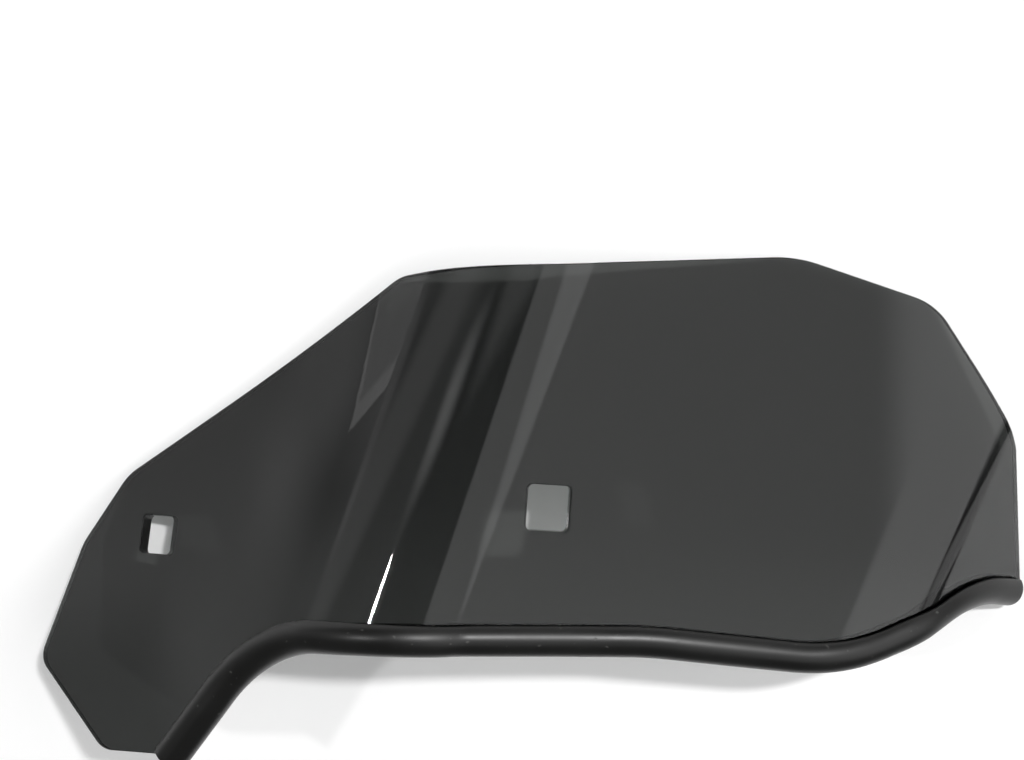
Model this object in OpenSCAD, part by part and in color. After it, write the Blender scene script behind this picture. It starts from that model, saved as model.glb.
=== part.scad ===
// Motorcycle hand guard: one sheet of smoked acrylic, cut flat, bent hot round a former,
// with a round black rubber trim pushed onto its lower edge.
// The sheet is drawn flat first, in a plane with its zero at the centre of the main fixing
// hole, then bent along straight fold lines, then laid down the way it comes to rest.
// Lengths are in millimetres and angles in degrees.

/* [Sheet] */
// Thickness of the acrylic sheet
sheet_t = 4; // [3:0.5:6]
// Flat length from the main hole to the outer tip
panel_l = 152.5; // [125:0.5:185]
// Flat length from the main hole to the end of the inner arm
arm_l = 165; // [136:1:198]
// Height of the top edge above the main hole
top_h = 69; // [56:1:84]
// Depth of the lower edge below the main hole
skirt_h = 38.5; // [31:0.5:46]
// Depth of the arm's foot below the main hole
arm_drop = 70; // [58:0.5:84]

/* [Outline corners] */
// Radius of the outer end's upper corner
outer_r = 11; // [4:1:14]
// Radius of the sloping shoulder's corner
shoulder_r = 18; // [6:1:24]
// Radius where the top edge starts to slope
top_r = 36; // [10:1:60]
// Radius where the top edge turns down the arm
crease_top_r = 13; // [6:1:24]
// Radius of the arm's upper corners
arm_corner_r = 16; // [6:1:18]
// Radius of the arm's rear corner
heel_r = 6; // [2:1:9]
// Radius of the arm's foot corner
foot_r = 9; // [3:1:12]
// Radius of the sharp outer tip
tip_r = 2.5; // [1:0.5:4]
// Radius of the hollow under the arm
armpit_r = 42; // [30:1:48]

/* [Bends] */
// Angle of the main crease between panel and arm
crease_angle = 61; // [40:1:75]
// Width of the main crease across the sheet
crease_w = 42; // [24:1:50]
// Backward sweep of the arm towards its end
arm_sweep = 10; // [0:1:14]
// Slight hollow of the panel on each side of the main hole
panel_hollow = [11.5, 4.5]; // [0:0.5:14]
// Crown of the panel towards its outer end
panel_crown = 5; // [0:1:10]
// Angle of the first outer bend
outer_bend = 12.5; // [5:0.5:20]
// Angle of the tight bend that turns the outer end in
tip_bend = 25; // [10:1:35]
// Width of the tight outer bend
tip_bend_w = 8.5; // [6:0.5:12]

/* [Fixing holes] */
// Width and height of the main hole
main_hole = [11.5, 12.5]; // [8:0.5:16]
// Width and height of the arm's hole
arm_hole = [11, 11]; // [8:0.5:16]
// Corner radius of both holes
hole_r = 1.5; // [0.5:0.25:3]
// Turn of both holes against the top edge
hole_turn = -3; // [-8:1:8]

/* [Edge trim] */
// Diameter of the round rubber trim
trim_d = 10; // [9:0.5:13]
// Depth of sheet that the trim's slot takes in beyond the trim's centre
trim_bite = 3.25; // [1:0.25:3.5]
// Radius of the rounded lips beside the trim's slot
lip_r = 0.8; // [0.4:0.1:1.2]
// Clearance between the sheet and the trim's slot
trim_slack = 0.09; // [0.05:0.01:0.2]
// Length of bare sheet left at the outer tip
trim_setback = 6; // [2:0.5:10]
// Length by which the trim passes the arm's foot
trim_tail = 4; // [0:0.5:6]

/* [Hidden] */

// Two heights in the flat sheet at which each fold line's place is given
datum_low = -40;
datum_high = 75;
// Longest stretch of sheet between two stations, and of trim between two rings
station_gap = 2;
ring_gap = 2.5;
corner_steps = 10;
trim_sides = 18;
lip_steps = 3;
hole_sides = 32;
left_stations = 26;
right_stations = 20;
// Greatest share of an edge that one corner's rounding may take
edge_share = 0.49;
hair = 0.1;
smoke = [0.27, 0.28, 0.28];
black = [0.1, 0.1, 0.1];

// Small vector helpers

function unit(v) = v / norm(v);
function mix(a, b, q) = a + (b - a) * q;
function cross2(a, b) = a.x * b.y - a.y * b.x;
function along(m, v) = [for (i = [0:2]) m[i][0] * v.x + m[i][1] * v.y + m[i][2] * v.z];
function place(m, p) = along(m, p) + [m[0][3], m[1][3], m[2][3]];

// Outline of the flat sheet: corners in order, each with its radius, anticlockwise

tip = [panel_l, -skirt_h + 5.75];
outer_corner = [panel_l - 19.5, 17.5];
shoulder = [panel_l - 47.5, top_h - 12];
top_outer = [panel_l - 86.5, top_h];
crease_top = [-45, top_h - 6];
arm_top = [-arm_l + 27, 9.5];
arm_end_top = [-arm_l + 12.5, -10.5];
arm_heel = [-arm_l, -arm_drop + 25];
arm_foot = [-arm_l + 27, -arm_drop];
trim_foot = [-arm_l + 56, -arm_drop];
arm_root = [-arm_l + 82.25, -skirt_h];
skirt_mid = [28.5, -skirt_h];
trim_dip = [panel_l - 70.5, -skirt_h - 5.2];
trim_crest = [panel_l - 25.25, -skirt_h + 11.5];

// Radii of the long curves that the trimmed lower edge follows, and of the arm's end of it
trim_foot_r = 3;
skirt_mid_r = 120;
trim_dip_r = 63;
trim_crest_r = 42;

upper_corners = [
    [tip, tip_r], [outer_corner, outer_r], [shoulder, shoulder_r], [top_outer, top_r],
    [crease_top, crease_top_r], [arm_top, arm_corner_r], [arm_end_top, arm_corner_r],
    [arm_heel, heel_r], [arm_foot, foot_r], [trim_foot, trim_foot_r]
];
lower_corners = [
    [arm_root, armpit_r], [skirt_mid, skirt_mid_r], [trim_dip, trim_dip_r], [trim_crest, trim_crest_r]
];

// Arc that rounds the corner at b between a and c, its tangents held inside both edges
function corner_arc(a, b, c, r) =
    let(
        u = unit(a - b),
        v = unit(c - b),
        half = acos(u * v) / 2,
        run = min(r / tan(half), edge_share * norm(a - b), edge_share * norm(c - b)),
        real_r = run * tan(half),
        centre = b + unit(u + v) * real_r / sin(half),
        from = b + u * run - centre,
        sweep = (180 - 2 * half) * sign(cross2(b - a, c - b))
    )
    [for (i = [0:corner_steps])
        let(t = sweep * i / corner_steps)
        centre + [from.x * cos(t) - from.y * sin(t), from.x * sin(t) + from.y * cos(t)]];

function rounded_ring(corners) =
    let(n = len(corners))
    [for (i = [0:n - 1], p = corner_arc(
        corners[(i + n - 1) % n][0], corners[i][0], corners[(i + 1) % n][0], corners[i][1])) p];

outline = rounded_ring(concat(upper_corners, lower_corners));

// Fold lines. A line is [place at datum_low, place at datum_high]; a fold adds its angle.

function line_dir(l) = unit([l[1] - l[0], datum_high - datum_low]);
function right_of(l, q) = -cross2(line_dir(l), q - [l[0], datum_low]);
function line_at(l, y) = mix(l[0], l[1], (y - datum_low) / (datum_high - datum_low));
function shifted(l, dx) = [l[0] + dx, l[1] + dx];
function between(a, b, x, y) =
    let(q = (x - line_at(a, y)) / (line_at(b, y) - line_at(a, y)))
    [mix(a[0], b[0], q), mix(a[1], b[1], q)];

// A bend spreads its angle evenly over folds from line a to line b
function bend(a, b, angle) =
    let(n = ceil(max(abs(b[0] - a[0]), abs(b[1] - a[1]), 1) / station_gap))
    [for (i = [0:n - 1]) let(q = (i + 0.5) / n) [mix(a[0], b[0], q), mix(a[1], b[1], q), angle / n]];

// Flat stations that close up towards the end of the sheet, where the outline turns fast
function run_out(a, dx, n) =
    [for (i = [1:n]) let(q = sin(90 * i / n)) [a[0] + dx * q, a[1] + dx * q, 0]];

// Each line is given where the sheet's bend is centred, with the bend's half width beside it
crease = [-48, -10.5];
crease_out = shifted(crease, -crease_w / 2);
crease_in = shifted(crease, crease_w / 2);
outer_line = [panel_l - 70.5, panel_l - 12];
outer_half = [6.5, 12];
outer_in = outer_line - outer_half;
outer_out = outer_line + outer_half;
tip_line = [panel_l - 51.5, panel_l - 5];
tip_in = shifted(tip_line, -tip_bend_w / 2);
tip_out = shifted(tip_line, tip_bend_w / 2);

// The sheet stays flat for a washer's width round each hole. The panel's hollow ends hollow_reach
// from the main hole, and the arm's sweep runs from sweep_gap beyond the crease to the arm's hole.
hole_flat = 9;
hollow_reach = 32;
sweep_gap = 8;
main_left = between(crease_in, outer_in, -hole_flat, 0);
main_mid = between(crease_in, outer_in, 0, 0);
main_right = between(crease_in, outer_in, hole_flat, 0);
hollow_end = between(crease_in, outer_in, hollow_reach, 0);
arm_hole_at = [-arm_l + 39.7, -8];
sweep_start = shifted(crease_out, -sweep_gap);
sweep_end = shifted(crease_out, arm_hole_at.x + hole_flat - line_at(crease_out, arm_hole_at.y));

// The sheet's far ends, measured square to the last fold line on each side
function reach(l, side) = max([for (p = outline) side * right_of(l, p)]);
function across(l) = line_dir(l).y;

right_folds = concat(
    bend(main_mid, main_right, 0),
    bend(main_right, hollow_end, -panel_hollow[1]),
    bend(hollow_end, outer_in, panel_crown),
    bend(outer_in, outer_out, outer_bend),
    bend(outer_out, tip_in, 0),
    bend(tip_in, tip_out, tip_bend),
    run_out(tip_out, (reach(tip_out, 1) - hair) / across(tip_out), right_stations));
left_folds = concat(
    bend(main_mid, main_left, 0),
    bend(main_left, crease_in, -panel_hollow[0]),
    bend(crease_in, crease_out, crease_angle),
    bend(crease_out, sweep_start, 0),
    bend(sweep_start, sweep_end, -arm_sweep),
    run_out(sweep_end, -(reach(sweep_end, -1) - hair) / across(sweep_end), left_stations));

// Turn of the sheet beyond a fold line, as a 4 x 4 matrix about that line
function turn(l, a) =
    let(
        d = line_dir(l), c = cos(a), s = sin(a), k = 1 - c,
        r = [
            [c + d.x * d.x * k, d.x * d.y * k, d.y * s],
            [d.x * d.y * k, c + d.y * d.y * k, -d.x * s],
            [-d.y * s, d.x * s, c]
        ],
        p = [l[0], datum_low, 0],
        t = p - r * p
    )
    [[r[0].x, r[0].y, r[0].z, t.x], [r[1].x, r[1].y, r[1].z, t.y], [r[2].x, r[2].y, r[2].z, t.z],
        [0, 0, 0, 1]];

level = [[1, 0, 0, 0], [0, 1, 0, 0], [0, 0, 1, 0], [0, 0, 0, 1]];

// Place of every strip after the folds between it and the main hole
function frames(folds, side) =
    [for (i = 0, m = level; i <= len(folds);
        m = i < len(folds) ? m * turn(folds[i], side * folds[i][2]) : m, i = i + 1) m];

right_frames = frames(right_folds, 1);
left_frames = frames(left_folds, -1);

function normal_at(f, i) = unit(along(f[i], [0, 0, 1]) + along(f[i + 1], [0, 0, 1]));

// Bends a flat point q with height h over the sheet's middle plane
function bent(q, h) =
    let(
        on_right = right_of(main_mid, q) >= 0,
        side = on_right ? 1 : -1,
        folds = on_right ? right_folds : left_folds,
        f = on_right ? right_frames : left_frames,
        k = len([for (l = folds) if (side * right_of(l, q) > 0) 1]),
        before = abs(right_of(k == 0 ? main_mid : folds[k - 1], q)),
        after = k == len(folds) ? 1 : abs(right_of(folds[k], q)),
        low = k == 0 ? [0, 0, 1] : normal_at(f, k - 1),
        high = k == len(folds) ? along(f[k], [0, 0, 1]) : normal_at(f, k),
        lift = unit(mix(low, high, before / (before + after)))
    )
    place(f[k], [q.x, q.y, 0]) + lift * h;

// Shield: stations are the fold lines, cut off where they leave the outline

function cut_line(l) =
    let(
        d = line_dir(l),
        o = [l[0], datum_low],
        n = len(outline),
        hits = [for (i = [0:n - 1])
            let(
                a = outline[i] - o,
                b = outline[(i + 1) % n] - o,
                sa = cross2(d, a),
                sb = cross2(d, b)
            )
            if (sa * sb < 0) mix(a, b, sa / (sa - sb)) * d]
    )
    [o + d * min(hits), o + d * max(hits)];

// Four corners of the sheet's section at one station: back low, front low, front high, back high
function station(l, m, lift) =
    let(
        ends = cut_line(l),
        low = place(m, [ends[0].x, ends[0].y, 0]),
        high = place(m, [ends[1].x, ends[1].y, 0]),
        half = lift * sheet_t / 2
    )
    [low - half, low + half, high + half, high - half];

shield_rings = concat(
    [for (i = [len(left_folds) - 1:-1:0])
        station(left_folds[i], left_frames[i], normal_at(left_frames, i))],
    [station(main_mid, level, [0, 0, 1])],
    [for (i = [0:len(right_folds) - 1])
        station(right_folds[i], right_frames[i], normal_at(right_frames, i))]);

// Skin of a row of rings that all have the same number of points, closed at both ends
function skin(rings) =
    let(n = len(rings[0]), last = len(rings) - 1)
    concat(
        [[for (j = [n - 1:-1:0]) j]],
        [for (i = [0:last - 1], j = [0:n - 1])
            let(k = (j + 1) % n)
            [i * n + j, i * n + k, (i + 1) * n + k, (i + 1) * n + j]],
        [[for (j = [0:n - 1]) last * n + j]]);

function flatten(rings) = [for (r = rings, p = r) p];

// Edge trim: a round section with a slot, carried along the lower edge

// The line runs on to the sheet's tip and by trim_spare past the foot, and is then cut off square
trim_spare = 2;
tip_way = unit(tip - trim_crest);
foot_way = unit(trim_foot - arm_root);
tip_end = tip - tip_way * trim_setback;
foot_end = trim_foot + foot_way * trim_tail;
trim_corners = concat([[tip, 0]],
    [for (i = [len(lower_corners) - 1:-1:0]) lower_corners[i]],
    [[foot_end + foot_way * trim_spare, 0]]);
trim_line = concat(
    [trim_corners[0][0]],
    [for (i = [1:len(trim_corners) - 2], p = corner_arc(
        trim_corners[i - 1][0], trim_corners[i][0], trim_corners[i + 1][0], trim_corners[i][1])) p],
    [trim_corners[len(trim_corners) - 1][0]]);

// Rings: points along the line no further apart than ring_gap, each with its way into the sheet
function steps_of(a, b) = max(1, ceil(norm(b - a) / ring_gap));
trim_path = concat(
    [for (i = [0:len(trim_line) - 2], j = [0:steps_of(trim_line[i], trim_line[i + 1]) - 1])
        mix(trim_line[i], trim_line[i + 1], j / steps_of(trim_line[i], trim_line[i + 1]))],
    [trim_line[len(trim_line) - 1]]);
function way_in(i) =
    let(d = unit(trim_path[min(i + 1, len(trim_path) - 1)] - trim_path[max(i - 1, 0)])) [d.y, -d.x];

// Section as [depth into the sheet, height over its middle plane]. Each lip is an arc that runs
// from the round of the trim into the slot's wall.
slot_h = sheet_t / 2 + trim_slack;
lip_reach = sqrt((trim_d / 2 - lip_r) ^ 2 - (slot_h + lip_r) ^ 2);
lip_angle = atan2(slot_h + lip_r, lip_reach);
function lip(side) = [for (i = [1:lip_steps])
    let(t = mix(lip_angle, -90, i / lip_steps))
    [trim_bite + lip_reach + lip_r * cos(t), side * (slot_h + lip_r + lip_r * sin(t))]];
upper_lip = lip(1);
wall_mid = (trim_bite + lip_reach) / 2;
trim_section = concat(
    [for (i = [0:trim_sides])
        let(t = mix(lip_angle, 360 - lip_angle, i / trim_sides))
        [trim_bite + trim_d / 2 * cos(t), trim_d / 2 * sin(t)]],
    lip(-1),
    [[wall_mid, -slot_h], [-trim_slack, -slot_h], [-trim_slack, slot_h], [wall_mid, slot_h]],
    [for (i = [lip_steps - 1:-1:0]) upper_lip[i]]);

function trim_ring(p, into) = [for (s = trim_section) bent(p + into * s[0], s[1])];
last_ring = len(trim_path) - 1;
trim_rings = [for (i = [0:last_ring]) trim_ring(trim_path[i], way_in(i))];
function within(p) = (p - tip_end) * tip_way <= 0 && (p - foot_end) * foot_way <= 0;
kept_rings = concat(
    [trim_ring(tip_end, way_in(0))],
    [for (i = [0:last_ring]) if (within(trim_path[i])) trim_rings[i]],
    [trim_ring(foot_end, way_in(last_ring))]);

// The resting attitude: the guard lies on its arm, its outer tip and its shoulder, whose lowest
// points are found along a first guess of the upward direction and then along the better one

guard_points = concat(flatten(shield_rings), flatten(kept_rings));
function lowest(points, up) =
    let(h = [for (p = points) p * up], low = min(h))
    [for (i = [0:len(h) - 1]) if (h[i] == low) points[i]][0];
function plane_up(up) =
    let(
        arm = lowest([for (p = guard_points) if (p.x < -panel_l / 3) p], up),
        outer_tip = lowest([for (p = guard_points) if (p.x > panel_l / 3 && p.y < 0) p], up),
        top = lowest([for (p = guard_points) if (p.x > panel_l / 3 && p.y > top_h / 2) p], up)
    )
    unit(cross(outer_tip - arm, top - arm));
first_up = unit([0, -1, 2]);
rest_up = plane_up(plane_up(plane_up(first_up)));
rest_lean = atan2(rest_up.y, rest_up.z);
rest_roll = atan2(-rest_up.x, norm([rest_up.y, rest_up.z]));

// The shift that puts the guard on the floor, centred over the origin
function laid_flat(p) =
    let(z = p.y * sin(rest_lean) + p.z * cos(rest_lean))
    [
        p.x * cos(rest_roll) + z * sin(rest_roll),
        p.y * cos(rest_lean) - p.z * sin(rest_lean),
        -p.x * sin(rest_roll) + z * cos(rest_roll)
    ];
laid_points = [for (p = guard_points) laid_flat(p)];
function extent(axis) = let(v = [for (p = laid_points) p[axis]]) [min(v), max(v)];
shift = [-mix(extent(0)[0], extent(0)[1], 0.5), -mix(extent(1)[0], extent(1)[1], 0.5), -extent(2)[0]];

module laid() {
    translate(shift) rotate([rest_lean, rest_roll, 0]) children();
}

// A rectangle with round corners, for the holes
module rounded_plate(size, r, h) {
    linear_extrude(h, center = true) {
        square([size.x, size.y - 2 * r], center = true);
        square([size.x - 2 * r, size.y], center = true);
        for (x = [-1, 1], y = [-1, 1])
            translate([x * (size.x / 2 - r), y * (size.y / 2 - r)]) circle(r, $fn = hole_sides);
    }
}

// Puts its children on the bent sheet, at a point of the flat one
module on_sheet(at) {
    on_left = right_of(main_mid, at) < 0;
    folds = on_left ? left_folds : right_folds;
    side = on_left ? -1 : 1;
    k = len([for (l = folds) if (side * right_of(l, at) > 0) 1]);
    multmatrix((on_left ? left_frames : right_frames)[k]) translate(at) children();
}

module fixing_hole(at, size) {
    on_sheet(at) rotate(hole_turn) rounded_plate(size, hole_r, 3 * sheet_t);
}

// Square end of the trim: takes off all that lies beyond the point, in the direction given
module end_cut(at, way) {
    on_sheet(at) rotate(atan2(way.y, way.x)) translate([0, -trim_d, -trim_d])
        cube([trim_d, 2 * trim_d, 2 * trim_d]);
}

module shield() {
    color(smoke) laid() difference() {
        polyhedron(flatten(shield_rings), skin(shield_rings), convexity = 6);
        fixing_hole([0, 0], main_hole);
        fixing_hole(arm_hole_at, arm_hole);
    }
}

module edge_trim() {
    color(black) laid() difference() {
        polyhedron(flatten(trim_rings), skin(trim_rings), convexity = 6);
        end_cut(tip_end, tip_way);
        end_cut(foot_end, foot_way);
    }
}

shield();
edge_trim();
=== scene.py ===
from math import acos, atan2, ceil, cos, hypot, pi, radians, sin, sqrt, tan

import bmesh
import bpy
import numpy as np
from bpy.props import FloatProperty, FloatVectorProperty, PointerProperty
from bpy.types import Operator, Panel, PropertyGroup
from mathutils import Euler, Matrix, Vector


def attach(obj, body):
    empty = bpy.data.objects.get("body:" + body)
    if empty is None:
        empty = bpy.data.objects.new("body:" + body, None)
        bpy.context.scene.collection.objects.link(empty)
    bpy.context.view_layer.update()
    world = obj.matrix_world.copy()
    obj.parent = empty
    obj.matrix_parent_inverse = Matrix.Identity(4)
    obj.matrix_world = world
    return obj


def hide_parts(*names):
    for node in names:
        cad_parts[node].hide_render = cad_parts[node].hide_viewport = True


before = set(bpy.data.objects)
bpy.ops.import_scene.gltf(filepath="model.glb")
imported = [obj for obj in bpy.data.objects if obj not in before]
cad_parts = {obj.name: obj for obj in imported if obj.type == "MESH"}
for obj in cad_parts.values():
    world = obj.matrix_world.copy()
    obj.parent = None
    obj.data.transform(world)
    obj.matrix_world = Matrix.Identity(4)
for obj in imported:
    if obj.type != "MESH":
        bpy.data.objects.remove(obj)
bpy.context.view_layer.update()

bl_info = {
    "name": "Smoked hand guard",
    "version": (1, 0, 0),
    "blender": (4, 5, 0),
    "location": "3D View > Sidebar > Hand Guard",
    "description": "Builds a motorcycle hand guard of bent smoked acrylic with a rubber edge trim",
    "category": "Object",
}

MM = 0.001

# Attitude of the guard at rest and the shift onto the floor, in degrees and millimetres
REST_LEAN = -24.4108
REST_ROLL = 10.6475
REST_SHIFT = (2.55305, 13.6835, 41.3508)

# Two heights in the flat sheet at which each fold line's place is given, in millimetres
DATUM_LOW = -40.0
DATUM_HIGH = 75.0

# Holes of the sheet: width and height, radius of their corners, all in millimetres, and their turn
MAIN_HOLE = (11.5, 12.5)
ARM_HOLE = (11.0, 11.0)
HOLE_RADIUS = 1.5
HOLE_TURN = -radians(3)

# Clearance between the sheet and the slot of the trim, and the broken edge of the trim's ends, in millimetres
SLOT_GAP = 0.09
TRIM_ARRIS = 0.35

# Steps in which the corners of the blank and the line of the trim are rounded
CORNER_STEP = radians(3)
LINE_STEP = radians(1)

# Colours: plain white, the light that each surface of the sheet lets on to the table, and dust on the rubber
WHITE = (1.0, 1.0, 1.0)
SURFACE_PASS = (0.95, 0.95, 0.95)
DUST = (0.10, 0.10, 0.095)

# Refractive index of the acrylic and of the rubber's surface
ACRYLIC_IOR = 1.49
RUBBER_IOR = 1.42

# The camera's place, its turn in degrees and its lens in millimetres, found from the outline of the guard
CAMERA_PLACE = (0.0063, 0.28534, 0.51455)
CAMERA_TURN = (-26.1282, 4.143, 4.4418)
CAMERA_LENS = 71.273
CAMERA_SENSOR = 36.0

# How far off every lamp stands, the radius of the table top, and where it turns to plain white, in metres
LAMP_DISTANCE = 2.0
TABLE_RADIUS = 6.0
TABLE_FADE = (0.35, 1.0)


# Settings


class GuardSheetSettings(PropertyGroup):
    """Sizes of the flat blank and of its bends"""

    thickness: FloatProperty(
        name="Thickness",
        description="Thickness of the acrylic sheet",
        default=0.004,
        unit="LENGTH",
    )
    panel_length: FloatProperty(
        name="Panel",
        description="Flat length from the main hole to the outer tip",
        default=0.1525,
        unit="LENGTH",
    )
    arm_length: FloatProperty(
        name="Arm",
        description="Flat length from the main hole to the arm's end",
        default=0.165,
        unit="LENGTH",
    )
    top_height: FloatProperty(
        name="Top",
        description="Height of the top edge above the main hole",
        default=0.069,
        unit="LENGTH",
    )
    skirt_depth: FloatProperty(
        name="Skirt",
        description="Depth of the lower edge below the main hole",
        default=0.0385,
        unit="LENGTH",
    )
    arm_drop: FloatProperty(
        name="Arm drop",
        description="Depth of the arm's foot below the main hole",
        default=0.070,
        unit="LENGTH",
    )
    crease_angle: FloatProperty(
        name="Crease",
        description="Angle of the main crease",
        default=radians(61),
        unit="ROTATION",
    )
    crease_width: FloatProperty(
        name="Crease width",
        description="Width of the main crease across the sheet",
        default=0.042,
        unit="LENGTH",
    )
    arm_sweep: FloatProperty(
        name="Arm sweep",
        description="Backward sweep of the arm",
        default=radians(10),
        unit="ROTATION",
    )
    outer_bend: FloatProperty(
        name="Outer bend",
        description="Angle of the first outer bend",
        default=radians(12.5),
        unit="ROTATION",
    )
    tip_bend: FloatProperty(
        name="Tip bend",
        description="Angle of the tight bend at the outer end",
        default=radians(25),
        unit="ROTATION",
    )
    arris: FloatProperty(
        name="Arris",
        description="Width of the broken edge all round the sheet",
        default=0.00045,
        unit="LENGTH",
    )


class GuardTrimSettings(PropertyGroup):
    """Sizes of the rubber trim"""

    diameter: FloatProperty(
        name="Diameter",
        description="Diameter of the round trim",
        default=0.010,
        unit="LENGTH",
    )
    bite: FloatProperty(
        name="Bite",
        description="Depth of sheet taken in beyond the trim's centre",
        default=0.00325,
        unit="LENGTH",
    )
    lip: FloatProperty(
        name="Lip",
        description="Radius of the two lips beside the slot",
        default=0.0008,
        unit="LENGTH",
    )
    setback: FloatProperty(
        name="Setback",
        description="Bare sheet left at the outer tip",
        default=0.006,
        unit="LENGTH",
    )
    tail: FloatProperty(
        name="Tail",
        description="Trim that passes the arm's foot",
        default=0.004,
        unit="LENGTH",
    )


class GuardLookSettings(PropertyGroup):
    """Colours and finishes"""

    smoke: FloatVectorProperty(
        name="Smoke",
        description="Colour that the sheet lets through most",
        subtype="COLOR",
        default=(0.030, 0.050, 0.036),
        min=0.0,
        max=1.0,
    )
    smoke_density: FloatProperty(
        name="Density",
        description="Absorption of light for each metre of sheet",
        default=760.0,
    )
    polish: FloatProperty(
        name="Polish",
        description="Roughness of the clean acrylic",
        default=0.012,
        min=0.0,
        max=1.0,
    )
    satin: FloatProperty(
        name="Satin",
        description="Roughness of the clean rubber",
        default=0.33,
        min=0.0,
        max=1.0,
    )
    rubber: FloatVectorProperty(
        name="Rubber",
        description="Colour of the rubber trim",
        subtype="COLOR",
        default=(0.0026, 0.0026, 0.0024),
        min=0.0,
        max=1.0,
    )


class GuardStageSettings(PropertyGroup):
    """Floor, light and camera"""

    floor: FloatVectorProperty(
        name="Floor",
        description="Colour of the table top",
        subtype="COLOR",
        default=(0.86, 0.86, 0.86),
        min=0.0,
        max=1.0,
    )
    room_light: FloatProperty(
        name="Room light",
        description="Brightness of the even light from all round",
        default=0.20,
    )
    box_light: FloatProperty(
        name="Soft boxes",
        description="Brightness of the soft boxes",
        default=0.74,
    )
    key_light: FloatProperty(
        name="Key light",
        description="Brightness of the two small lamps",
        default=1.0,
    )


# Shader maths


class Signal:
    """A shader socket that adds Math nodes when it is reckoned with"""

    def __init__(self, shader, socket):
        self.shader = shader
        self.socket = socket

    def _math(self, operation, *values):
        return self.shader.node("ShaderNodeMath", {"operation": operation}, dict(enumerate(values)))

    def __add__(self, other):
        return self._math("ADD", self, other)

    __radd__ = __add__

    def __sub__(self, other):
        return self._math("SUBTRACT", self, other)

    def __rsub__(self, other):
        return self._math("SUBTRACT", other, self)

    def __mul__(self, other):
        return self._math("MULTIPLY", self, other)

    __rmul__ = __mul__

    def over(self, low, high):
        """0 below low, 1 above high, smooth between"""
        return self.shader.node(
            "ShaderNodeMapRange",
            {"interpolation_type": "SMOOTHSTEP"},
            {"Value": self, "From Min": low, "From Max": high, "To Min": 0.0, "To Max": 1.0},
        )


class Shader:
    """The node tree of one material, lamp or world"""

    def __init__(self, owner):
        owner.use_nodes = True
        self.tree = owner.node_tree
        self.tree.nodes.clear()

    def node(self, kind, settings=None, sockets=None, out=0):
        """One node of any kind: its settings first, then the values or links of its sockets"""
        made = self.tree.nodes.new(kind)
        for key, value in (settings or {}).items():
            setattr(made, key, value)
        for key, value in (sockets or {}).items():
            if isinstance(value, Signal):
                self.tree.links.new(value.socket, made.inputs[key])
            elif made.inputs[key].type == "RGBA":
                made.inputs[key].default_value = (*value, 1.0)
            else:
                made.inputs[key].default_value = value
        return Signal(self, made.outputs[out]) if made.outputs else made

    def place(self):
        """Where a point lies on the object"""
        return self.node("ShaderNodeTexCoord", out="Object")

    def ray(self, kind):
        """1 for one kind of ray, 0 for the others"""
        return self.node("ShaderNodeLightPath", out=f"Is {kind} Ray")

    def noise(self, where, scale, detail, roughness):
        """Cloudy pattern from 0 to 1"""
        return self.node(
            "ShaderNodeTexNoise",
            None,
            {"Vector": where, "Scale": scale, "Detail": detail, "Roughness": roughness},
        )

    def stretched(self, where, turn, scale):
        """A place turned and scaled, so that a pattern on it is drawn out"""
        return self.node("ShaderNodeMapping", None, {"Vector": where, "Rotation": turn, "Scale": scale})

    def blend(self, factor, a, b):
        """Two colours mixed"""
        made = self.node("ShaderNodeMix", {"data_type": "RGBA"}, {"Factor": factor}, out=2)
        for name, value in (("A_Color", a), ("B_Color", b)):
            socket = next(s for s in made.socket.node.inputs if s.identifier == name)
            if isinstance(value, Signal):
                self.tree.links.new(value.socket, socket)
            else:
                socket.default_value = (*value, 1.0)
        return made

    def bump(self, height, strength, distance):
        """Normal that shows a height as relief"""
        return self.node(
            "ShaderNodeBump", None, {"Height": height, "Strength": strength, "Distance": distance}
        )

    def finish(self, surface, volume=None, kind="ShaderNodeOutputMaterial"):
        """Ends the tree in its output"""
        sockets = {"Surface": surface}
        if volume is not None:
            sockets["Volume"] = volume
        self.node(kind, None, sockets)


# Flat blank and its bends


def unit(v):
    """A flat vector brought to length 1"""
    return v / hypot(v[0], v[1])


def blank_corners(s):
    """Corners of the flat blank with their radii, anticlockwise, in millimetres

    The corners of the plain edge come first, then those of the trimmed one.
    """
    panel, arm = s.panel_length / MM, s.arm_length / MM
    top, skirt, drop = s.top_height / MM, s.skirt_depth / MM, s.arm_drop / MM
    plain = [
        (panel, -skirt + 5.75, 2.5),
        (panel - 19.5, 17.5, 11.0),
        (panel - 47.5, top - 12.0, 18.0),
        (panel - 86.5, top, 36.0),
        (-45.0, top - 6.0, 13.0),
        (-arm + 27.0, 9.5, 16.0),
        (-arm + 12.5, -10.5, 16.0),
        (-arm, -drop + 25.0, 6.0),
        (-arm + 27.0, -drop, 9.0),
        (-arm + 56.0, -drop, 3.0),
    ]
    trimmed = [
        (-arm + 82.25, -skirt, 42.0),
        (28.5, -skirt, 120.0),
        (panel - 70.5, -skirt - 5.2, 63.0),
        (panel - 25.25, -skirt + 11.5, 42.0),
    ]
    return plain, trimmed


def corner_arc(a, b, c, radius):
    """Start, centre and sweep of the arc that rounds the corner b between a and c"""
    a, b, c = (np.array(p[:2], float) for p in (a, b, c))
    u, v = unit(a - b), unit(c - b)
    half = acos(max(-1.0, min(1.0, float(u @ v)))) / 2
    run = min(radius / tan(half), 0.49 * hypot(*(a - b)), 0.49 * hypot(*(c - b)))
    real = run * tan(half)
    centre = b + unit(u + v) * real / sin(half)
    side = np.sign((b - a)[0] * (c - b)[1] - (b - a)[1] * (c - b)[0])
    return b + u * run, centre, (pi - 2 * half) * side


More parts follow.
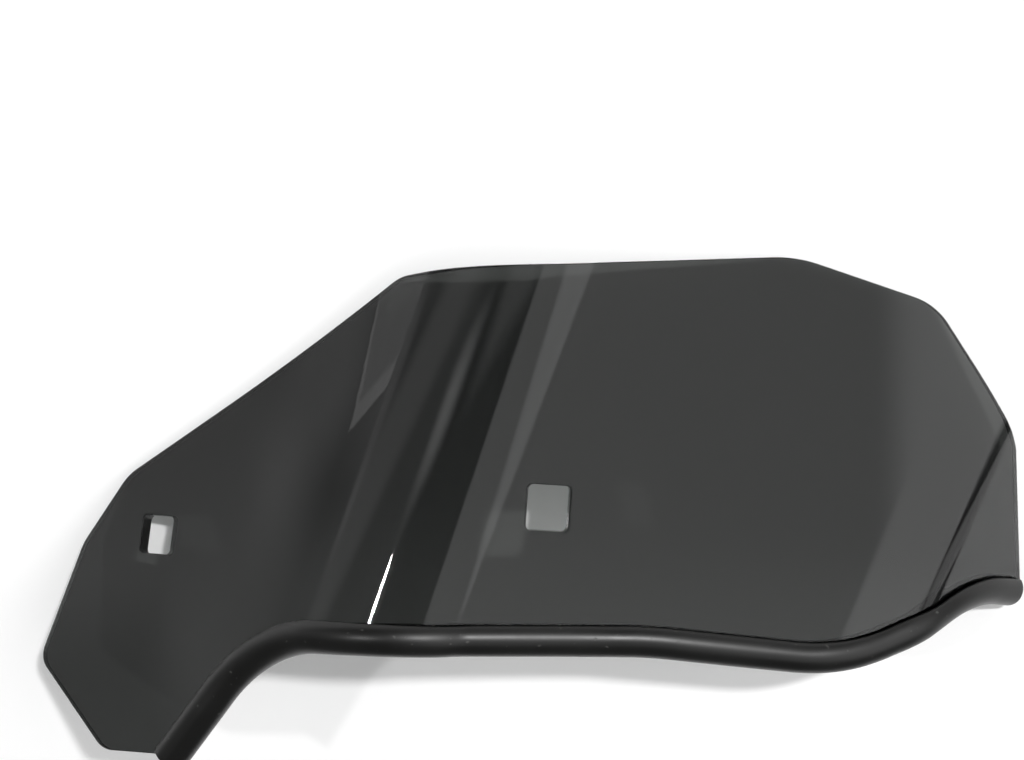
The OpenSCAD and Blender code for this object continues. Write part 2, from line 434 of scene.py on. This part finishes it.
class Former:
    """The former that the hot sheet is laid over: straight folds on each side of the main hole

    A fold line is its two distances from the main hole, at the low and the high datum, in millimetres.
    """

    FOLD_GAP = 0.8
    CREASE = (-48.0, -10.5)
    SWEEP_LEAD = 8.0
    OUTER_FROM_TIP = (70.5, 12.0)
    OUTER_HALF = (6.5, 12.0)
    TIP_BEND_FROM_TIP = (51.5, 5.0)
    TIP_BEND_WIDTH = 8.5
    HOLE_FLAT = 9.0
    HOLLOW_END = 32.0
    HOLLOW_LEFT = radians(11.5)
    HOLLOW_RIGHT = radians(4.5)
    CROWN = radians(5.0)
    ARM_HOLE_FROM_END = (39.7, -8.0)

    def __init__(self, s):
        panel = s.panel_length / MM
        crease = np.array(self.CREASE)
        half = s.crease_width / MM / 2
        crease_in, crease_out = crease + half, crease - half
        outer = panel - np.array(self.OUTER_FROM_TIP)
        outer_in, outer_out = outer - self.OUTER_HALF, outer + self.OUTER_HALF
        tip = panel - np.array(self.TIP_BEND_FROM_TIP)
        tip_half = self.TIP_BEND_WIDTH / 2
        self.mid = self.between(crease_in, outer_in, 0.0)
        main_left = self.between(crease_in, outer_in, -self.HOLE_FLAT)
        main_right = self.between(crease_in, outer_in, self.HOLE_FLAT)
        hollow_end = self.between(crease_in, outer_in, self.HOLLOW_END)
        self.arm_hole = np.array([-s.arm_length / MM, 0.0]) + self.ARM_HOLE_FROM_END
        sweep_start = crease_out - self.SWEEP_LEAD
        sweep_end = crease_out + self.arm_hole[0] + self.HOLE_FLAT - self.at(crease_out, self.arm_hole[1])
        right = (
            self.bend(main_right, hollow_end, -self.HOLLOW_RIGHT)
            + self.bend(hollow_end, outer_in, self.CROWN)
            + self.bend(outer_in, outer_out, s.outer_bend)
            + self.bend(tip - tip_half, tip + tip_half, s.tip_bend)
        )
        left = (
            self.bend(main_left, crease_in, -self.HOLLOW_LEFT)
            + self.bend(crease_in, crease_out, s.crease_angle)
            + self.bend(sweep_start, sweep_end, -s.arm_sweep)
        )
        self.sides = [self.strips(right, 1), self.strips(left, -1)]
        rest = Matrix.Rotation(radians(REST_ROLL), 3, "Y") @ Matrix.Rotation(radians(REST_LEAN), 3, "X")
        self.rest = np.array(rest)

    @staticmethod
    def at(line, y):
        """Where a fold line crosses a height"""
        return line[0] + (line[1] - line[0]) * (y - DATUM_LOW) / (DATUM_HIGH - DATUM_LOW)

    @classmethod
    def between(cls, a, b, x):
        """Fold line through x on the level of the main hole, leaning between two others"""
        q = (x - cls.at(a, 0.0)) / (cls.at(b, 0.0) - cls.at(a, 0.0))
        return a + (b - a) * q

    @classmethod
    def bend(cls, a, b, angle):
        """Fold lines that spread an angle evenly from line a to line b"""
        n = ceil(max(abs(b - a)) / cls.FOLD_GAP)
        return [(a + (b - a) * (i + 0.5) / n, angle / n) for i in range(n)]

    @staticmethod
    def right_of(line, q):
        """Distance of points to the right of a fold line"""
        way = unit(np.array([line[1] - line[0], DATUM_HIGH - DATUM_LOW]))
        d = q - np.array([line[0], DATUM_LOW])
        return d[..., 0] * way[1] - d[..., 1] * way[0]

    @staticmethod
    def strips(folds, side):
        """Place of each strip of sheet between two folds, and the sheet's normal at each fold"""
        places = [np.eye(4)]
        for line, angle in folds:
            axis = Vector((line[1] - line[0], DATUM_HIGH - DATUM_LOW, 0))
            spot = Matrix.Translation((line[0], DATUM_LOW, 0))
            turn = spot @ Matrix.Rotation(side * angle, 4, axis) @ spot.inverted()
            places.append(places[-1] @ np.array(turn))
        places = np.array(places)
        normals = places[:-1, :3, 2] + places[1:, :3, 2]
        normals /= np.linalg.norm(normals, axis=1)[:, None]
        return side, [line for line, _ in folds], places, normals

    def fold_lines(self):
        """Every fold line, from the main hole outwards on each side"""
        return [line for _, lines, _, _ in self.sides for line in lines]

    def lay(self, flat, height):
        """Places on the finished guard of points of the blank, with heights over its middle plane"""
        done = np.zeros((len(flat), 3))
        on_right = self.right_of(self.mid, flat) >= 0
        for side, lines, places, normals in self.sides:
            pick = on_right if side > 0 else ~on_right
            q, h = flat[pick], height[pick]
            past = np.array([side * self.right_of(line, q) for line in lines])
            k = (past > 0).sum(axis=0)
            n = len(lines)
            row = np.arange(len(q))
            before = np.where(k == 0, abs(self.right_of(self.mid, q)), abs(past[np.maximum(k - 1, 0), row]))
            after = np.where(k == n, 1.0, abs(past[np.minimum(k, n - 1), row]))
            low = np.where((k == 0)[:, None], places[0, :3, 2], normals[np.maximum(k - 1, 0)])
            high = np.where((k == n)[:, None], places[n, :3, 2], normals[np.minimum(k, n - 1)])
            lift = low + (high - low) * (before / (before + after))[:, None]
            lift /= np.linalg.norm(lift, axis=1)[:, None]
            spot = np.c_[q, np.zeros(len(q)), np.ones(len(q))]
            done[pick] = np.einsum("nij,nj->ni", places[k, :3], spot) + lift * h[:, None]
        return (done @ self.rest.T + np.array(REST_SHIFT)) * MM


def only_verts(geom):
    """The vertices in an operator's geometry"""
    return [v for v in geom if isinstance(v, bmesh.types.BMVert)]


def spun_arc(bm, first, centre, axis, angle, steps):
    """Arc of new vertices about a centre, from a vertex that is there already: gives its last vertex"""
    spun = bmesh.ops.spin(
        bm, geom=[first], cent=centre, axis=axis, angle=angle, steps=steps, use_duplicate=False
    )
    return only_verts(spun["geom_last"])[0]


def cut(bm, spot, across):
    """New edges where a plane crosses the faces"""
    bmesh.ops.bisect_plane(
        bm, geom=bm.verts[:] + bm.edges[:] + bm.faces[:], dist=1e-4, plane_co=spot, plane_no=across
    )


def add_outline(bm, corners):
    """Closed outline with round corners: each arc is a vertex spun about the corner's centre"""
    ends = []
    for i, corner in enumerate(corners):
        start, centre, sweep = corner_arc(corners[i - 1], corner, corners[(i + 1) % len(corners)], corner[2])
        first = bm.verts.new((*start, 0))
        steps = max(6, ceil(abs(sweep) / CORNER_STEP))
        ends.append((first, spun_arc(bm, first, (*centre, 0), (0, 0, 1), sweep, steps)))
    for i, (first, _) in enumerate(ends):
        bm.edges.new((ends[i - 1][1], first))


def add_hole(bm, centre, size):
    """Outline of a square hole with round corners"""
    made = bmesh.ops.create_grid(bm, x_segments=1, y_segments=1, size=0.5)["verts"]
    turned = Matrix.Translation((*centre, 0)) @ Matrix.Rotation(HOLE_TURN, 4, "Z")
    bmesh.ops.transform(bm, matrix=turned @ Matrix.Diagonal((*size, 1, 1)), verts=made)
    round_off = bmesh.ops.bevel(
        bm, geom=made, offset=HOLE_RADIUS, segments=7, profile=0.5, affect="VERTICES", material=-1
    )
    inner = {f for v in round_off["verts"] for f in v.link_faces}
    bmesh.ops.delete(bm, geom=list(inner), context="FACES_ONLY")


def to_object(bm, name, smooth=True):
    """Ends a bmesh in an object of the scene"""
    mesh = bpy.data.meshes.new(name)
    bm.to_mesh(mesh)
    bm.free()
    if smooth:
        mesh.shade_smooth()
    made = bpy.data.objects.new(name, mesh)
    bpy.context.scene.collection.objects.link(made)
    return made


def even_normals(made):
    """Weights the shading by face area, so that broad faces stay flat beside their broken edges"""
    weigh = made.modifiers.new("Even normals", "WEIGHTED_NORMAL")
    weigh.mode = "FACE_AREA"
    weigh.weight = 50
    weigh.keep_sharp = True


def lay_on_former(bm, former, flat, height):
    """Moves every vertex from the flat blank to its place on the former"""
    for vert, place in zip(bm.verts, former.lay(flat, height)):
        vert.co = place


def build_sheet(s):
    """The acrylic sheet: blank cut out, arrises broken, then laid over the former"""
    former = Former(s)
    thick = s.thickness / MM
    plain, trimmed = blank_corners(s)
    bm = bmesh.new()
    add_outline(bm, plain + trimmed)
    add_hole(bm, (0, 0), MAIN_HOLE)
    add_hole(bm, former.arm_hole, ARM_HOLE)
    bmesh.ops.triangle_fill(bm, use_beauty=True, use_dissolve=False, edges=bm.edges[:], normal=(0, 0, 1))
    bmesh.ops.dissolve_limit(bm, angle_limit=radians(0.1), verts=bm.verts[:], edges=bm.edges[:])
    bmesh.ops.translate(bm, vec=(0, 0, -thick / 2), verts=bm.verts[:])
    grown = bmesh.ops.extrude_face_region(bm, geom=bm.faces[:])["geom"]
    bmesh.ops.translate(bm, vec=(0, 0, thick), verts=only_verts(grown))
    bmesh.ops.recalc_face_normals(bm, faces=bm.faces[:])
    rims = [e for e in bm.edges if len(e.link_faces) == 2 and e.calc_face_angle(0) > radians(60)]
    rims = [e for e in rims if abs(e.verts[0].co.z - e.verts[1].co.z) < 0.1]
    bmesh.ops.bevel(
        bm,
        geom=rims,
        offset=s.arris / MM,
        segments=3,
        profile=0.5,
        affect="EDGES",
        clamp_overlap=True,
        material=-1,
    )
    for line in former.fold_lines():
        cut(bm, (line[0], DATUM_LOW, 0), (DATUM_HIGH - DATUM_LOW, line[0] - line[1], 0))
    flat = np.array([v.co for v in bm.verts])
    lay_on_former(bm, former, flat[:, :2], flat[:, 2])
    made = to_object(bm, "acrylic_sheet")
    even_normals(made)
    return made


def lower_edge(s, t):
    """Line of the trimmed edge, from the outer tip to past the arm's foot

    Gives the length up to each point, the points, and the middle and the heading of each step.
    """
    plain, trimmed = blank_corners(s)
    tip, foot, root = (np.array(p[:2]) for p in (plain[0], plain[-1], trimmed[0]))
    end = foot + unit(foot - root) * t.tail / MM
    corners = [plain[0]] + trimmed[::-1] + [(*end, 0)]
    points = [tip]
    for a, b, c in zip(corners, corners[1:], corners[2:]):
        first, centre, sweep = corner_arc(a, b, c, b[2])
        steps = max(8, ceil(abs(sweep) / LINE_STEP))
        arm = first - centre
        for i in range(steps + 1):
            w = sweep * i / steps
            points.append(centre + [arm[0] * cos(w) - arm[1] * sin(w), arm[0] * sin(w) + arm[1] * cos(w)])
    points.append(end)
    points = np.array(points)
    run = np.r_[0, np.cumsum(np.hypot(*np.diff(points, axis=0).T))]
    middle = (run[1:] + run[:-1]) / 2
    step = np.diff(points, axis=0)
    return run, points, middle, np.unwrap(np.arctan2(step[:, 1], step[:, 0]))


def trim_section(bm, s, t, x):
    """Section of the trim: the round, two lips rolled into the slot, and the slot for the sheet"""
    radius, bite, lip = t.diameter / MM / 2, t.bite / MM, t.lip / MM
    slot = s.thickness / MM / 2 + SLOT_GAP
    reach = sqrt((radius - lip) ** 2 - (slot + lip) ** 2)
    mouth = atan2(slot + lip, reach)
    first = bm.verts.new((x, bite + radius * cos(mouth), radius * sin(mouth)))
    along = (1, 0, 0)
    last = spun_arc(bm, first, (x, bite, 0), along, 2 * pi - 2 * mouth, 44)
    upper = spun_arc(bm, first, (x, bite + reach, slot + lip), along, -mouth - pi / 2, 6)
    lower = spun_arc(bm, last, (x, bite + reach, -slot - lip), along, mouth + pi / 2, 6)
    wall = (bite + reach) / 2
    walls = [(wall, -slot), (-SLOT_GAP, -slot), (-SLOT_GAP, slot), (wall, slot)]
    chain = [lower] + [bm.verts.new((x, y, z)) for y, z in walls] + [upper]
    for a, b in zip(chain, chain[1:]):
        bm.edges.new((a, b))
    return bmesh.ops.contextual_create(bm, geom=bm.edges[:])["faces"]


def build_trim(s, t):
    """The rubber trim: a straight round bar with a slot, pushed along the sheet's lower edge"""
    former = Former(s)
    run, points, middle, heading = lower_edge(s, t)
    start, stop = t.setback / MM, run[-1]
    bm = bmesh.new()
    section = trim_section(bm, s, t, start)
    bar = bmesh.ops.extrude_face_region(bm, geom=section)["geom"]
    bmesh.ops.translate(bm, vec=(stop - start, 0, 0), verts=only_verts(bar))
    bmesh.ops.recalc_face_normals(bm, faces=bm.faces[:])
    walls = s.thickness / MM / 2 + SLOT_GAP + 1e-3
    centre = Vector((t.bite / MM, 0))
    round_from = t.diameter / MM / 2 - 1e-3
    ends = [
        e
        for e in bm.edges
        if abs(e.verts[0].co.x - e.verts[1].co.x) < 1e-4
        and any(abs(v.co.z) > walls or (v.co.yz - centre).length > round_from for v in e.verts)
    ]
    bmesh.ops.bevel(bm, geom=ends, offset=TRIM_ARRIS, segments=3, profile=0.5, affect="EDGES", material=-1)
    for i in range(ceil(start) + 1, int(stop)):
        cut(bm, (i, 0, 0), (1, 0, 0))
    bar = np.array([v.co for v in bm.verts])
    edge = np.c_[np.interp(bar[:, 0], run, points[:, 0]), np.interp(bar[:, 0], run, points[:, 1])]
    way = np.interp(bar[:, 0], middle, heading)
    flat = edge + np.c_[np.sin(way), -np.cos(way)] * bar[:, 1][:, None]
    lay_on_former(bm, former, flat, bar[:, 2])
    bmesh.ops.recalc_face_normals(bm, faces=bm.faces[:])
    made = to_object(bm, "rubber_trim")
    even_normals(made)
    return made


# Finishes


def smoked_acrylic(look):
    """Clear plastic dyed dark grey: polished, with faint hairlines and dust"""
    made = bpy.data.materials.new("smoked_acrylic")
    shader = Shader(made)
    where = shader.place()
    hairs = shader.noise(shader.stretched(where, (0, 0, 0.5), (40, 1400, 400)), 1.0, 3.0, 0.6)
    haze = shader.noise(where, 22.0, 4.0, 0.55)
    dust = shader.noise(where, 420.0, 1.0, 0.4)
    rough = look.polish + hairs.over(0.70, 0.82) * 0.02
    rough = rough + haze.over(0.50, 0.80) * 0.008
    rough = rough + dust.over(0.80, 0.84) * 0.25
    glassy = shader.node(
        "ShaderNodeBsdfPrincipled",
        None,
        {
            "Base Color": WHITE,
            "Roughness": rough,
            "IOR": ACRYLIC_IOR,
            "Transmission Weight": 1.0,
        },
    )
    clear = shader.node("ShaderNodeBsdfTransparent", None, {"Color": SURFACE_PASS})
    surface = shader.node("ShaderNodeMixShader", None, {0: shader.ray("Shadow"), 1: glassy, 2: clear})
    volume = shader.node(
        "ShaderNodeVolumeAbsorption", None, {"Color": tuple(look.smoke), "Density": look.smoke_density}
    )
    shader.finish(surface, volume)
    return made


def satin_rubber(look):
    """Extruded black rubber: satin, with a fine tooth and a trace of dust"""
    made = bpy.data.materials.new("satin_rubber")
    shader = Shader(made)
    where = shader.place()
    tooth = shader.noise(where, 1500.0, 2.0, 0.5)
    cloud = shader.noise(where, 60.0, 3.0, 0.5)
    dust = shader.noise(where, 700.0, 1.0, 0.3).over(0.72, 0.80)
    base = tuple(look.rubber)
    worn = tuple(c * 1.7 + 0.0015 for c in base)
    colour = shader.blend(cloud.over(0.35, 0.75) * 0.6, base, worn)
    colour = shader.blend(dust * 0.35, colour, DUST)
    rough = look.satin + cloud.over(0.3, 0.8) * 0.10 + dust * 0.2
    surface = shader.node(
        "ShaderNodeBsdfPrincipled",
        None,
        {
            "Base Color": colour,
            "Roughness": rough,
            "IOR": RUBBER_IOR,
            "Normal": shader.bump(tooth, 0.12, 0.00005),
        },
    )
    shader.finish(surface)
    return made


# Operators


class GUARD_OT_sheet(Operator):
    """Build the bent acrylic sheet"""

    bl_idname = "guard.sheet"
    bl_label = "Acrylic sheet"

    def execute(self, context):
        made = build_sheet(context.scene.guard_sheet)
        made.data.materials.append(smoked_acrylic(context.scene.guard_look))
        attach(made, "root")
        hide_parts("shield")
        return {"FINISHED"}


class GUARD_OT_trim(Operator):
    """Build the rubber trim on the sheet's lower edge"""

    bl_idname = "guard.trim"
    bl_label = "Rubber trim"

    def execute(self, context):
        made = build_trim(context.scene.guard_sheet, context.scene.guard_trim)
        made.data.materials.append(satin_rubber(context.scene.guard_look))
        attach(made, "root")
        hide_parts("edge_trim")
        return {"FINISHED"}


class GUARD_OT_stage(Operator):
    """Build the floor, the light and the camera"""

    bl_idname = "guard.stage"
    bl_label = "Stage"

    def execute(self, context):
        stage = context.scene.guard_stage
        self.floor(stage)
        self.room(context.scene, stage)
        self.lamps(context.scene, stage)
        self.camera(context.scene)
        context.scene.view_settings.view_transform = "Standard"
        return {"FINISHED"}

    def floor(self, stage):
        """Table top: its own colour to the light, and white with the guard's shadow where it is seen"""
        bm = bmesh.new()
        bmesh.ops.create_circle(bm, cap_ends=True, segments=96, radius=TABLE_RADIUS)
        floor = to_object(bm, "table_top", smooth=False)
        paint = bpy.data.materials.new("table_top")
        shader = Shader(paint)
        plain = shader.node("ShaderNodeBsdfDiffuse", None, {"Color": tuple(stage.floor)})
        near = shader.node("ShaderNodeBsdfDiffuse", None, {"Color": WHITE})
        far = shader.node("ShaderNodeEmission", None, {"Color": WHITE, "Strength": 1.0})
        away = shader.node("ShaderNodeVectorMath", {"operation": "LENGTH"}, {0: shader.place()}, out="Value")
        seen = shader.node("ShaderNodeMixShader", None, {0: away.over(*TABLE_FADE), 1: near, 2: far})
        looked = shader.ray("Camera") + shader.ray("Glossy") + shader.ray("Transmission")
        shader.finish(shader.node("ShaderNodeMixShader", None, {0: looked, 1: plain, 2: seen}))
        floor.data.materials.append(paint)

    def room(self, scene, stage):
        """Even light from all round, white to the camera and through the sheet"""
        scene.world = bpy.data.worlds.new("room")
        shader = Shader(scene.world)
        light = shader.node("ShaderNodeBackground", None, {"Color": WHITE, "Strength": stage.room_light})
        white = shader.node("ShaderNodeBackground", None, {"Color": WHITE, "Strength": 1.0})
        looked = shader.ray("Camera") + shader.ray("Transmission")
        mixed = shader.node("ShaderNodeMixShader", None, {0: looked, 1: light, 2: white})
        shader.finish(mixed, kind="ShaderNodeOutputWorld")

    def lamps(self, scene, stage):
        """Lamps by name, tilt, size, turn, soft share of the width, and brightness

        A tilt is in degrees from straight above, towards +X and towards +Y. A turn is in degrees.
        """
        for name, tilt, size, turn, soft, bright in (
            ("outer_soft_box", (40, 12), (2.2, 2.1), 0, 0.08, stage.box_light),
            ("end_soft_box", (48.4, 31.3), (1.6, 2.9), 38.7, 0.15, 0.95 * stage.box_light),
            ("low_soft_box", (84, -22), (0.22, 1.8), 0, 0.3, stage.box_light),
            ("arm_soft_box", (-57, 22), (2.7, 1.5), 0, 0.3, 0.23 * stage.box_light),
            ("arm_strip", (-62, 28), (2.6, 0.5), 0, 0.6, 0.38 * stage.box_light),
            ("far_arm_strip", (-82, 24), (0.5, 0.5), 0, 0.8, 0.42 * stage.box_light),
            ("crease_strip", (-25, 30.5), (0.55, 0.34), 0, 0.9, 1.3 * stage.box_light),
            ("top_strip", (0, 34), (1.1, 0.45), 0, 0.6, 0.45 * stage.box_light),
            ("crease_lamp", (-28.8, 23.2), (0.06, 0.11), 0, 0, 230.0 * stage.key_light),
            ("key", (14, 38), (0.09, 0.09), 0, 0, 800.0 * stage.key_light),
        ):
            lamp = bpy.data.lights.new(name, "AREA")
            lamp.shape = "RECTANGLE" if soft else "ELLIPSE"
            lamp.size, lamp.size_y = size
            lamp.energy = 4 * size[0] * size[1] * bright
            if soft:
                self.soften(lamp, soft)
            lean = radians(hypot(*tilt))
            out = Vector((*(Vector(tilt).normalized() * sin(lean)), cos(lean)))
            across = (Vector((1, 0, 0)) - out * out.x).normalized()
            facing = Matrix((across, out.cross(across), out)).transposed()
            facing = facing @ Matrix.Rotation(radians(turn), 3, "Z")
            made = bpy.data.objects.new(name, lamp)
            made.location = out * LAMP_DISTANCE
            made.rotation_euler = facing.to_euler()
            scene.collection.objects.link(made)

    def soften(self, lamp, soft):
        """Lets a soft box fade out towards its rim"""
        shader = Shader(lamp)
        across = shader.node("ShaderNodeNewGeometry", out="Parametric")
        fade = 1.0
        for axis in ("X", "Y"):
            at = shader.node("ShaderNodeSeparateXYZ", None, {"Vector": across}, out=axis)
            off = shader.node("ShaderNodeMath", {"operation": "ABSOLUTE"}, {0: at - 0.5})
            fade = fade * (1.0 - off.over(0.5 - soft / 2, 0.5))
        glow = shader.node("ShaderNodeEmission", None, {"Color": WHITE, "Strength": fade})
        shader.finish(glow, kind="ShaderNodeOutputLight")

    def camera(self, scene):
        """Camera in the place that the photograph was taken from"""
        lens = bpy.data.cameras.new("camera")
        lens.sensor_width = CAMERA_SENSOR
        lens.lens = CAMERA_LENS
        lens.clip_start = 0.01
        lens.clip_end = 50.0
        made = bpy.data.objects.new("camera", lens)
        made.location = CAMERA_PLACE
        made.rotation_euler = Euler([radians(a) for a in CAMERA_TURN], "XYZ")
        scene.collection.objects.link(made)
        scene.camera = made


class GUARD_PT_panel(Panel):
    """Buttons and settings for the hand guard"""

    bl_label = "Hand Guard"
    bl_idname = "GUARD_PT_panel"
    bl_space_type = "VIEW_3D"
    bl_region_type = "UI"
    bl_category = "Hand Guard"

    def draw(self, context):
        layout = self.layout
        for title, settings, action in (
            ("Sheet", context.scene.guard_sheet, GUARD_OT_sheet.bl_idname),
            ("Trim", context.scene.guard_trim, GUARD_OT_trim.bl_idname),
            ("Finish", context.scene.guard_look, None),
            ("Stage", context.scene.guard_stage, GUARD_OT_stage.bl_idname),
        ):
            box = layout.box()
            box.label(text=title)
            for key in settings.__annotations__:
                box.prop(settings, key)
            if action:
                box.operator(action)


SETTINGS = {
    "guard_sheet": GuardSheetSettings,
    "guard_trim": GuardTrimSettings,
    "guard_look": GuardLookSettings,
    "guard_stage": GuardStageSettings,
}
CLASSES = (*SETTINGS.values(), GUARD_OT_sheet, GUARD_OT_trim, GUARD_OT_stage, GUARD_PT_panel)


def register():
    for cls in CLASSES:
        bpy.utils.register_class(cls)
    for name, cls in SETTINGS.items():
        setattr(bpy.types.Scene, name, PointerProperty(type=cls))


def unregister():
    for name in SETTINGS:
        delattr(bpy.types.Scene, name)
    for cls in reversed(CLASSES):
        bpy.utils.unregister_class(cls)


def main():
    register()
    bpy.ops.guard.sheet()
    bpy.ops.guard.trim()
    bpy.ops.guard.stage()


if __name__ == "__main__":
    main()
